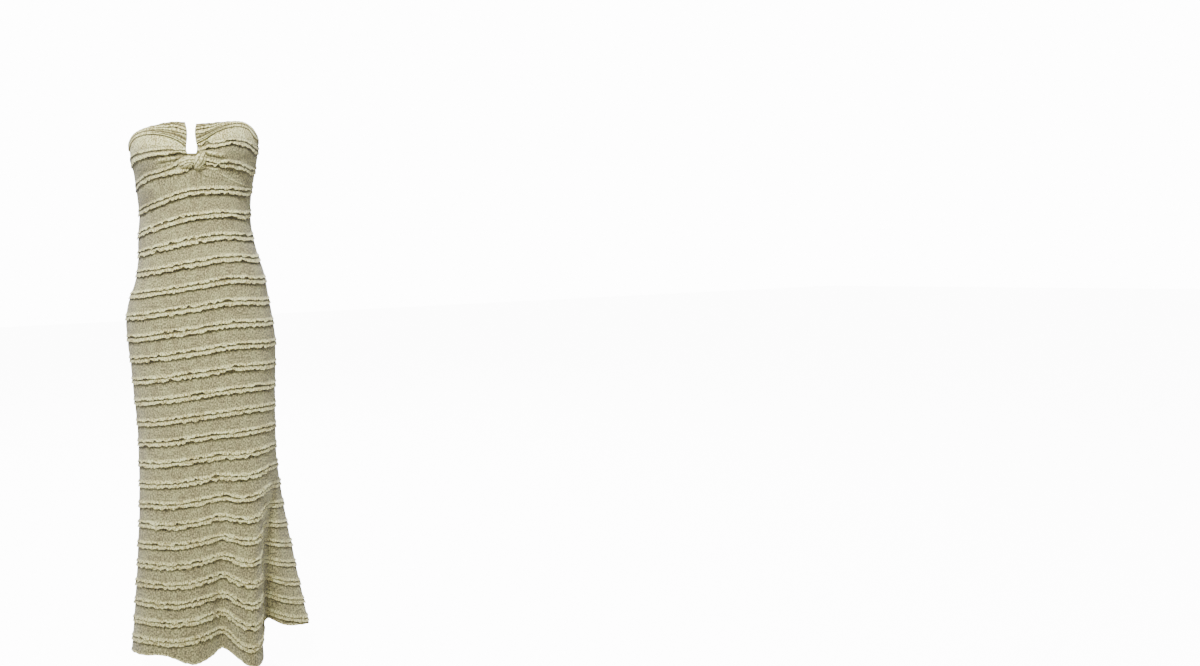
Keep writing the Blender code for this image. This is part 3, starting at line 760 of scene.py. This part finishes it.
# Where the cloth lies in its own shade: in the fold at the left, at the skirt's foot, under
# the bust and along the right side.
Shade = namedtuple("Shade", "angle angle_spread z z_spread depth")
SHADES = [
    Shade(72, 26, -1.150, 0.150, 0.42),
    Shade(66, 12, -1.060, 0.170, 0.30),
    Shade(0, 150, -1.200, 0.420, 0.34),
    Shade(-52, 26, -0.150, 0.026, 0.55),
    Shade(-58, 22, -0.084, 0.018, 0.75),
    Shade(52, 20, -0.064, 0.016, 0.45),
    Shade(62, 16, -0.128, 0.020, 0.30),
    Shade(-86, 9, -0.260, 0.130, 0.30),
    Shade(-86, 9, -0.900, 0.400, 0.25),
]


def shade_at(angle, z):
    angle = from_front(angle)
    return np.clip(sum(shade.depth * bump(angle, shade.angle, shade.angle_spread)
                       * bump(z, shade.z, shade.z_spread) for shade in SHADES), 0, 1)


# Rows of a long panel about a pair of ruffles, down from the upper lip by a share of the
# pair's depth and a length, and how dark the painted shadow under the lips is there.
PairRow = namedtuple("PairRow", "depths length crease")
PAIR_ROWS = [
    PairRow(0.0, -0.0110, 0.00),
    PairRow(0.0, -0.0060, 0.00),
    PairRow(0.0, 0.0000, 0.70),
    PairRow(0.5, 0.0000, 0.80),
    PairRow(1.0, -0.0010, 1.00),
    PairRow(1.0, 0.0010, 1.00),
    PairRow(1.0, 0.0030, 0.75),
    PairRow(1.0, 0.0050, 0.35),
    PairRow(1.0, 0.0080, 0.10),
    PairRow(1.0, 0.0120, 0.00),
]
ROWS_BETWEEN = 4
HEM_ROWS = 12
HEM_HEIGHT = 0.006       # the turned edge of the hem
HEM_RISE = 0.0012
HEM_WAVE = 0.0012
HEM_WAVE_PITCH = 0.09    # in columns
# How pale the hem's turned edge is: partly its own paler yarn, partly painted highlight.
HEM_PALE = 0.9
HEM_STITCH = 0.0015      # half the width of the line where it is sewn
STITCH_CREASE = 0.6
CREASE_SINK = 0.0007


def panel_rows(angle, top, hem, rings):
    """Heights of a panel's rows in each column, and how dark the painted shadow is in them."""
    heights = [top]
    creases = [0.0]
    for ring in rings:
        lip = ring_height(ring, angle)
        depth = float(table(PAIR_DEPTHS, "ring", "depth", ring))
        rows = [lip - row.depths * depth - row.length for row in PAIR_ROWS]
        for step in range(1, ROWS_BETWEEN + 1):
            heights.append(heights[-step] + (rows[0] - heights[-step]) * step / (ROWS_BETWEEN + 1))
            creases.append(0.0)
        heights += rows
        creases += [row.crease for row in PAIR_ROWS]
    last = heights[-1]
    for step in range(1, HEM_ROWS + 1):
        heights.append(last + (hem - last) * step / HEM_ROWS)
        creases.append(0.0)
    z = np.stack(heights, 1)
    z = np.minimum.accumulate(z, 1)
    z = np.clip(z, hem[:, None], top[:, None])
    return z, np.broadcast_to(np.array(creases)[None], z.shape)


def long_panel(name, first, last, rings, start_height, grid, node):
    """The plain cloth of the front or the back, with painted shadow under its ruffles."""
    columns = int(np.ceil((last - first) * COLUMN_WIDTH / grid))
    place = np.linspace(first, last, columns + 1)
    angle = column_value(place, "angle")
    top = start_height(angle)
    hem = column_value(place, "hem_z") + HEM_WAVE * noise_1d(place, HEM_WAVE_PITCH, 23)
    z, crease = panel_rows(angle, top, hem, rings)
    spread = np.broadcast_to(place[:, None], z.shape)
    edge = smooth((hem[:, None] + HEM_HEIGHT - z) / HEM_HEIGHT)
    rise = cloth_relief(spread, z) + HEM_RISE * edge
    outer = panel_at(spread, z, rise - CREASE_SINK * crease)
    inner = panel_at(spread, z, rise - CLOTH - CREASE_SINK)
    along = lengths(panel_at(place, np.full_like(place, -0.5), np.zeros_like(place)))
    crease = np.maximum(crease, gather_shade(spread, z))
    sewn = bump(z, hem[:, None] + HEM_HEIGHT, HEM_STITCH)
    crease = np.maximum(crease, STITCH_CREASE * sewn)
    crease = np.maximum(crease, shade_at(angle[:, None], z))
    # Painted shade from the creases, gathers and shades, a darker line where the hem is sewn, and
    # the pale turned edge of the hem.
    shade_and_pale = np.stack([crease, HEM_PALE * edge], -1)
    return shell_piece(name, shell(outer, inner, along, z, shade_and_pale), cloth_finish,
                       node)


ROUGH_STEPS = 400        # places that a ruffle's length is measured at
SIDE_ANGLE = 88
SIDE_CALM = 0.6          # how much flatter the ruffles lie at the sides
SIDE_SPREAD = 24


def ruffle_lines(first, last, ring, step):
    """Places along a ring of a long panel, evenly spaced along the cloth."""
    rough = np.linspace(first, last, ROUGH_STEPS)
    height = ring_height(ring, column_value(rough, "angle"))
    s = lengths(panel_at(rough, height, np.zeros_like(rough)))
    count = int(s[-1] / step)
    along = np.linspace(0, s[-1], count + 1)
    return np.interp(along, s, rough), along


def calm_at(angle):
    """How lively the ruffles are, from 1 down to their flattest at the sides."""
    side = np.abs(np.abs(from_front(angle)) - SIDE_ANGLE)
    return 1 - SIDE_CALM * bump(side, 0, SIDE_SPREAD)


def ruffles(name, first, last, rings, step, seed):
    """The pairs of ruffles that belong to some of a long panel's rings."""
    made = Lofts()
    for ring in rings:
        place, along = ruffle_lines(first, last, ring, step)
        angle = column_value(place, "angle")
        lip = ring_height(ring, angle)
        depth = float(table(PAIR_DEPTHS, "ring", "depth", ring))
        add_pair(made, panel_at, cloth_relief, place, along, lip, lip - depth,
                 seed + 20 * ring, calm_at(angle), shade_at(angle, lip))
    return made.make(name, ruffle_finish)


def back_start(angle):
    """Where the back's cloth starts, under its band."""
    top = np.where(from_front(angle) > 0, top_edge(angle, "left"), top_edge(angle, "right"))
    return top - BAND_HEIGHT


front_cloth = long_panel("front_cloth", RIGHT_SEAM, LEFT_SEAM, FRONT_RINGS, under_bust,
                         FRONT_GRID, "front_panel")
back_cloth = long_panel("back_cloth", LEFT_SEAM, len(COLUMNS), BACK_RINGS, back_start,
                        BACK_GRID, "back_panel")
front_ruffles = [
    ruffles("front_ruffles_upper", RIGHT_SEAM, LEFT_SEAM, FRONT_RINGS[:11], FRONT_CRIMP_GRID, 100),
    ruffles("front_ruffles_lower", RIGHT_SEAM, LEFT_SEAM, FRONT_RINGS[11:], FRONT_CRIMP_GRID, 100),
]
back_ruffles = [
    ruffles("back_ruffles_upper", LEFT_SEAM, len(COLUMNS), BACK_RINGS[:12], BACK_CRIMP_GRID, 2100),
    ruffles("back_ruffles_lower", LEFT_SEAM, len(COLUMNS), BACK_RINGS[12:], BACK_CRIMP_GRID, 2100),
]


# ---------------------------------------------------------------- the cups
def rows_between(place, top, bottom, count):
    """Places and heights of even rows from one line down to another, and their shares."""
    v = np.linspace(0, 1, count)[None]
    z = top[:, None] * (1 - v) + bottom[:, None] * v
    return np.broadcast_to(place[:, None], z.shape), z, v


RIGHT_CUP = Cup("right", COLUMNS[RIGHT_SEAM].angle, RIGHT_CUP_LINES)
LEFT_CUP = Cup("left", COLUMNS[LEFT_SEAM].angle, LEFT_CUP_LINES)

# The knot's two ends as seen from the front, and how far its shade reaches from them.
KNOT_LEFT = Vector((-0.018, -0.107, -0.080))
KNOT_RIGHT = Vector((0.025, -0.110, -0.073))
KNOT_SHADE = 0.0215
KNOT_FADE = 0.006
# Painted highlight over the upper ruffle of a cup, where the bust's top faces the light.
CUP_HIGHLIGHT = 0.75          # how much paler the cloth over the upper ruffle is
HIGHLIGHT_BELOW = 0.004       # how far below that ruffle's lip this starts, and fades in
HIGHLIGHT_FADE = 0.010
# Painted shadow under each pair of ruffles on a cup.
SHADOW_BELOW = 0.0075      # how far the dark under a pair reaches below its lower lip
SHADOW_FADE = 0.0065
SHADOW_EDGE = 0.002        # how soon it starts below the upper one
CUP_CALM = 0.85
CUP_ROUGH_STEPS = 200
CUP_EASE = 0.0005
FOLD_IN = 0.16           # shares of the way over which a fold rises and ends
FOLD_OUT = 0.06
SEAM_CREASE = 0.5
SEAM_SPREAD = 0.0015


def notch_angle(z):
    """Angle on the body of the keyhole's edge, or of the slit under it."""
    half_width = table(SECTIONS, "z", "half_width", z)
    share = np.maximum(table(NOTCH, "z", "half_width", z), SLIT) / half_width
    return np.degrees(np.arcsin(share ** (SECTION_POWER / 2)))


def cup_at(cup, share, z, rise):
    """Points on a cup, by share from its side seam to the keyhole, moved out by rise."""
    share, z, rise = np.broadcast_arrays(share, z, rise)
    sign = 1.0 if cup.side == "left" else -1.0
    angle = cup.seam_angle + share * (sign * notch_angle(z) - cup.seam_angle)
    return body_at(angle, z, rise)


def cup_line(cup, share, name, at_side):
    shares = [0.0] + [line.share for line in cup.lines]
    heights = [at_side] + [getattr(line, name) for line in cup.lines]
    return curve(shares, heights, share)


def cup_lips(cup, share, ring):
    """Heights of the upper and the lower lip of a pair on a cup."""
    at_side = float(ring_height(ring, cup.seam_angle))
    depth = float(table(PAIR_DEPTHS, "ring", "depth", ring))
    return (cup_line(cup, share, f"upper_{ring}", at_side),
            cup_line(cup, share, f"lower_{ring}", at_side - depth))


def band_bottom(cup, share):
    at_side = float(top_edge(cup.seam_angle, cup.side)) - BAND_HEIGHT
    return cup_line(cup, share, "band", at_side)


def cup_angle(cup, share):
    """About where a place on a cup lies on the body, if the keyhole is left out."""
    return cup.seam_angle * (1 - share)


def cup_folds(cup, share, z):
    """Rise of a cup's soft folds, painted highlight on their crests and painted shade under them.
    """
    rise, pale, crease = (np.zeros(np.broadcast(share, z).shape) for _ in range(3))
    for fold in CUP_FOLDS:
        if fold.side != cup.side:
            continue
        line = curve([fold.start, fold.middle, fold.end],
                     [fold.start_z, fold.middle_z, fold.end_z], share)
        ease = smooth((share - fold.start) / FOLD_IN)
        ease = ease * smooth((fold.end + FOLD_OUT - share) / FOLD_OUT)
        crest = ease * bump(z, line, fold.width)
        under = ease * bump(z, line - 1.5 * fold.width, 0.55 * fold.width)
        rise = rise + fold.rise * crest
        pale = np.maximum(pale, fold.pale * crest)
        crease = np.maximum(crease, fold.crease * under)
    return rise, pale, crease


def cup_relief(cup, share, z):
    """The folds drawn towards the knot, and the small unevenness of the cloth."""
    rise, _, _ = cup_folds(cup, share, z)
    return rise + CUP_EASE * noise_2d(share, z, 0.125, 0.01, 31)


def cup_shade_and_pale(cup, share, z):
    """A cup's painted shade under its lips, folds and knot, and painted highlight on top."""
    _, pale, crease = cup_folds(cup, share, z)
    for ring in CUP_RINGS:
        upper, lower = cup_lips(cup, share, ring)
        under = smooth((z - lower + SHADOW_BELOW) / SHADOW_FADE)
        crease = np.maximum(crease, under * smooth((upper - z) / SHADOW_EDGE))
    first, _ = cup_lips(cup, share, 0)
    lit = CUP_HIGHLIGHT * smooth((z - first + HIGHLIGHT_BELOW) / HIGHLIGHT_FADE)
    angle = cup_angle(cup, share)
    x = body_xy(angle, z)[..., 0]
    knot_line = KNOT_RIGHT - KNOT_LEFT
    along = np.clip((x - KNOT_LEFT.x) / knot_line.x, 0, 1)
    away = np.hypot(x - KNOT_LEFT.x - along * knot_line.x, z - KNOT_LEFT.z - along * knot_line.z)
    crease = np.maximum(crease, smooth((KNOT_SHADE - away) / KNOT_FADE))
    crease = np.maximum(crease, SEAM_CREASE * bump(z, under_bust(angle), SEAM_SPREAD))
    crease = np.maximum(crease, shade_at(angle, z))
    return np.stack([crease, np.maximum(pale, lit)], -1)


def cup_shell(cup, spread, z, rise, shade_and_pale):
    """A closed shell on a cup, moved out by rise over a plain inside."""
    return shell(cup_at(cup, spread, z, rise), cup_at(cup, spread, z, -CLOTH),
                 spread[:, 0] * CUP_WIDTH, z, shade_and_pale)


def make_cup(cup):
    share = np.linspace(0, 1, int(CUP_WIDTH / CUP_GRID) + 1)
    spread, z, _ = rows_between(share, band_bottom(cup, share), under_bust(cup_angle(cup, share)),
                                int(CUP_HEIGHT / CUP_GRID) + 1)
    parts = cup_shell(cup, spread, z, cup_relief(cup, spread, z), cup_shade_and_pale(cup, spread, z))
    return shell_piece(cup.side + "_cup", parts, cloth_finish,
                       "cup_" + cup.side)


def cup_ruffles(cup, seed):
    made = Lofts()
    for ring in CUP_RINGS:
        rough = np.linspace(0, 1, CUP_ROUGH_STEPS)
        upper, _ = cup_lips(cup, rough, ring)
        s = lengths(cup_at(cup, rough, upper, np.zeros_like(rough)))
        along = np.linspace(0, s[-1], int(s[-1] / FRONT_CRIMP_GRID) + 1)
        share = np.interp(along, s, rough)
        upper, lower = cup_lips(cup, share, ring)
        angle = cup_angle(cup, share)
        add_pair(made, partial(cup_at, cup), partial(cup_relief, cup), share, along, upper, lower,
                 seed + 20 * ring, CUP_CALM * calm_at(angle), shade_at(angle, upper))
    return made.make(cup.side + "_cup_ruffles", ruffle_finish)


# Where a band's turned edge is sewn, as a share of its height, by share of the way from
# the side seam to the keyhole.
BandLine = namedtuple("BandLine", "share stitched")
BAND_LINES = [BandLine(0.0, 0.50), BandLine(0.5, 0.50), BandLine(0.66, 0.62),
              BandLine(0.80, 0.74), BandLine(1.0, 0.76)]
BAND_ROWS = 54
BAND_RISE = 0.0012
BAND_WAVE = 0.0008
BAND_WAVE_PITCH = 0.03
PLEAT_RISE = 0.0045
PLEATS_ABOVE = 4         # above and below the stitched line
PLEATS_BELOW = 2
PLEAT_SHADE = 0.9
# Painted highlight on the pleats' crests, as paleness.
PLEAT_HIGHLIGHT = 0.95
FAN_START = 0.42         # where the pleats start, as a share of the way to the keyhole
FAN_WIDTH = 0.45
PLEAT_WANDER = 0.06      # how far the pleats wander from even, as a share of their part
UNGATHERED = 0.4         # how high the band stands where it isn't pleated, against the fan
TOP_ROUNDED = 0.05       # how much of a band's height its rounded edges take
BOTTOM_ROUNDED = 0.04


def crease_lines(u, count):
    """1 on evenly spaced lines across u from 0 to 1, and 0 between them."""
    return (1 - np.abs(np.sin(np.pi * count * u))) ** 1.4


def make_band(cup):
    """The gathered band along a cup's top edge, with folds that fan out to the keyhole."""
    share = np.linspace(0, 1, int(CUP_WIDTH / CUP_GRID) + 1)
    top = top_edge(cup_angle(cup, share), cup.side)
    top = top + BAND_WAVE * noise_1d(share, BAND_WAVE_PITCH, 17)
    spread, z, v = rows_between(share, top, band_bottom(cup, share), BAND_ROWS)
    fan = smooth((spread - FAN_START) / FAN_WIDTH)
    stitched = table(BAND_LINES, "share", "stitched", spread)
    wander = PLEAT_WANDER * noise_2d(spread, v, 0.09, 0.3, 7 if cup.side == "right" else 8)
    above = np.clip(v / stitched, 0, 1) + wander * fan
    below = np.clip((v - stitched) / (1 - stitched), 0, 1)
    upper_part = v < stitched
    edges = crease_lines(np.where(upper_part, v / stitched, below), 1)
    edges = edges * smooth(v / 0.06)
    pleats = np.where(upper_part, crease_lines(above, PLEATS_ABOVE),
                      crease_lines(below, PLEATS_BELOW))
    crease = PLEAT_SHADE * np.maximum(edges, fan * pleats)
    rounded = smooth(v / TOP_ROUNDED) * smooth((1 - v) / BOTTOM_ROUNDED)
    fullness = UNGATHERED + (1 - UNGATHERED) * fan
    rise = BAND_RISE * rounded + PLEAT_RISE * fullness * (1 - crease) * rounded
    # Painted shade in the pleats' creases and painted highlight on their crests.
    shade_and_pale = np.stack([smooth((crease - 0.1) / 0.45), PLEAT_HIGHLIGHT * (1 - crease)], -1)
    return shell_piece(cup.side + "_band", cup_shell(cup, spread, z, rise, shade_and_pale), band_finish,
                       "casing_" + cup.side)


BACK_BAND_COLUMNS = 220
BACK_BAND_ROWS = 12
BACK_BAND_RISE = 0.0020
BACK_BAND_GROOVE = 0.0012
BACK_BAND_EASE = 0.0003
# Painted shade in the band's stitched grooves and painted highlight on the band between them.
BACK_BAND_SHADE = 0.7
BACK_BAND_HIGHLIGHT = 0.8


def make_back_band():
    """The turned band along the back's top edge, stitched along its middle."""
    angle = column_value(np.linspace(LEFT_SEAM, len(COLUMNS), BACK_BAND_COLUMNS), "angle")
    bottom = back_start(angle)
    spread, z, v = rows_between(angle, bottom + BAND_HEIGHT, bottom, BACK_BAND_ROWS)
    crease = crease_lines(v, 2) * smooth(v / 0.1)
    rise = BACK_BAND_RISE - BACK_BAND_GROOVE * crease
    rise = rise + BACK_BAND_EASE * noise_2d(spread, z, 2, 0.004, 3)
    # Painted shade in the grooves, painted highlight between them.
    shade_and_pale = np.stack(np.broadcast_arrays(BACK_BAND_SHADE * crease,
                                        BACK_BAND_HIGHLIGHT * (1 - crease)), -1)
    along = lengths(body_at(angle, bottom, np.zeros_like(bottom)))
    parts = shell(body_at(spread, z, rise), body_at(spread, z, -CLOTH), along, z,
                  np.broadcast_to(shade_and_pale, (*z.shape, 2)))
    return shell_piece("back_band", parts, band_finish, "casing_back")


cups = [make_cup(cup) for cup in (RIGHT_CUP, LEFT_CUP)]
cup_flaps = [cup_ruffles(RIGHT_CUP, 5100), cup_ruffles(LEFT_CUP, 5300)]
bands = [make_band(cup) for cup in (RIGHT_CUP, LEFT_CUP)]
back_band = make_back_band()


# ---------------------------------------------------------------- the knot
# A roll of the knot: how many gathers wind on it and how far, how flat it is, and its
# points with its radius at each.
RollPoint = namedtuple("RollPoint", "x y z radius")
Roll = namedtuple("Roll", "gathers twist flatten points")
ROLLS = [
    Roll(8, 3.0, 0.75, [RollPoint(-0.026, -0.098, -0.0840, 0.0040),
                        RollPoint(-0.016, -0.107, -0.0795, 0.0085),
                        RollPoint(-0.004, -0.109, -0.0755, 0.0098),
                        RollPoint(0.009, -0.108, -0.0740, 0.0090),
                        RollPoint(0.020, -0.100, -0.0740, 0.0060)]),
    Roll(7, 1.6, 0.85, [RollPoint(0.034, -0.098, -0.0590, 0.0055),
                        RollPoint(0.031, -0.107, -0.0645, 0.0108),
                        RollPoint(0.0255, -0.110, -0.0735, 0.0122),
                        RollPoint(0.020, -0.107, -0.0825, 0.0098),
                        RollPoint(0.015, -0.098, -0.0885, 0.0050)]),
    Roll(3, 2.0, 0.80, [RollPoint(0.008, -0.099, -0.0900, 0.0018),
                        RollPoint(0.016, -0.105, -0.0895, 0.0032),
                        RollPoint(0.026, -0.106, -0.0885, 0.0036),
                        RollPoint(0.036, -0.104, -0.0870, 0.0032),
                        RollPoint(0.044, -0.098, -0.0850, 0.0018)]),
]
ROLL_SIDES = 72
ROLL_STEPS = 90
ROLL_GIRTH = 0.008       # of cloth round a roll, to a radian, and along it
ROLL_LENGTH = 0.05
# How dark the painted shade in a roll's gathers is.
ROLL_SHADE = 0.9
GATHER_DEPTH = 0.26      # as shares of the radius
DENT_DEPTH = 0.05


def gathered_roll(roll):
    """A soft roll of cloth along its points, with gathers that wind on it."""
    points = np.array(roll.points, float)
    at = np.linspace(0, 1, ROLL_STEPS)
    line = np.stack([curve(np.linspace(0, 1, len(points)), values, at) for values in points.T], -1)
    line, radius = line[:, :3], line[:, 3:]
    tangent = np.gradient(line, axis=0)
    tangent /= np.linalg.norm(tangent, axis=-1, keepdims=True)
    side = np.cross(tangent, np.array([0.0, -1.0, 0.0]))
    side /= np.linalg.norm(side, axis=-1, keepdims=True)
    front = np.cross(side, tangent)
    turn = np.linspace(0, 2 * np.pi, ROLL_SIDES, endpoint=False)[None]
    at = at[:, None]
    phase = 0.5 * (roll.gathers * turn + roll.twist * at + 0.8 * np.sin(9 * at))
    valley = (1 - np.abs(np.cos(phase))) ** 1.6
    dent = DENT_DEPTH * np.sin(3 * turn + 13 * at)
    r = radius * (1.06 - GATHER_DEPTH * valley + dent)
    loops = (line[:, None] + side[:, None] * (r * np.cos(turn))[..., None]
             + front[:, None] * (r * np.sin(turn) * roll.flatten)[..., None])
    coords = np.stack(np.broadcast_arrays(turn * ROLL_GIRTH, at * ROLL_LENGTH), -1)
    # Painted shade in the gathers' valleys and painted highlight on their crests.
    shade_and_pale = np.stack([ROLL_SHADE * smooth((valley - 0.3) / 0.5), 1 - valley], -1)
    return loops, coords, shade_and_pale


knot = Lofts()
for roll in ROLLS:
    knot.add(*gathered_roll(roll))
knot_piece = knot.make("knot", band_finish, ["centre_knot"])


# ---------------------------------------------------------------- floor, light and camera
FLOOR_Z = -1.26
FLOOR_SIZE = 30
FLOOR_GLOW = 12.0        # how bright the floor looks, whatever light falls on it
SKY_SEEN = 14.0          # how bright the room looks, and how much light it gives
SKY_LIGHT = 0.10


def pale_floor():
    made = bpy.data.materials.new("pale_floor")
    made.use_nodes = True
    tree = made.node_tree
    shader = tree.nodes["Principled BSDF"]
    shader.inputs["Base Color"].default_value = (0.80, 0.80, 0.80, 1.0)
    shader.inputs["Roughness"].default_value = 0.9
    shader.inputs["Emission Color"].default_value = (1.0, 1.0, 1.0, 1.0)
    ray = tree.nodes.new("ShaderNodeLightPath")
    glow = math_node(tree, "MULTIPLY", ray.outputs["Is Camera Ray"], FLOOR_GLOW)
    tree.links.new(glow, shader.inputs["Emission Strength"])
    return made


bpy.ops.mesh.primitive_plane_add(size=FLOOR_SIZE, location=(0, 6, FLOOR_Z))
floor = bpy.context.object
floor.name = "floor"
floor.data.materials.append(pale_floor())

world = bpy.data.worlds.new("pale_room")
bpy.context.scene.world = world
world.use_nodes = True
sky = world.node_tree.nodes["Background"]
sky.inputs["Color"].default_value = (1.0, 1.0, 1.0, 1.0)
sky_ray = world.node_tree.nodes.new("ShaderNodeLightPath")
seen = math_node(world.node_tree, "MULTIPLY_ADD", sky_ray.outputs["Is Camera Ray"],
                 SKY_SEEN - SKY_LIGHT, SKY_LIGHT)
world.node_tree.links.new(seen, sky.inputs["Strength"])


def softbox(name, place, aim, size, power):
    data = bpy.data.lights.new(name, "AREA")
    data.shape = "DISK"
    data.size = size
    data.energy = power
    light = bpy.data.objects.new(name, data)
    light.location = place
    light.rotation_euler = (Vector(aim) - Vector(place)).to_track_quat("-Z", "Y").to_euler()
    bpy.context.scene.collection.objects.link(light)


softbox("key_light", place=(-0.3, -1.9, 2.3), aim=(0, 0, -0.3), size=0.6, power=226)
softbox("back_light", place=(0.2, 3.2, 3.4), aim=(0, 0, -0.5), size=1.2, power=460)

CAMERA_DISTANCE = 2.045
CAMERA_Z = -0.346
CAMERA_TURN = math.radians(3.0)
CAMERA_ROLL = math.radians(-3.0)
FRAME_WIDTH = 1200.0     # the frame's width and the lens's focal length, in pixels
FOCAL_LENGTH = 870.2
lens = bpy.data.cameras.new("camera")
lens.sensor_width = 36.0
lens.lens = FOCAL_LENGTH / FRAME_WIDTH * lens.sensor_width
lens.shift_x = 0.3354
lens.shift_y = -0.0417
camera = bpy.data.objects.new("camera", lens)
camera.location = (CAMERA_DISTANCE * math.sin(CAMERA_TURN),
                   -CAMERA_DISTANCE * math.cos(CAMERA_TURN), CAMERA_Z)
upright = Matrix.Rotation(CAMERA_TURN, 3, "Z") @ Matrix.Rotation(math.pi / 2, 3, "X")
camera.rotation_euler = (upright @ Matrix.Rotation(CAMERA_ROLL, 3, "Z")).to_euler()
bpy.context.scene.collection.objects.link(camera)
bpy.context.scene.camera = camera
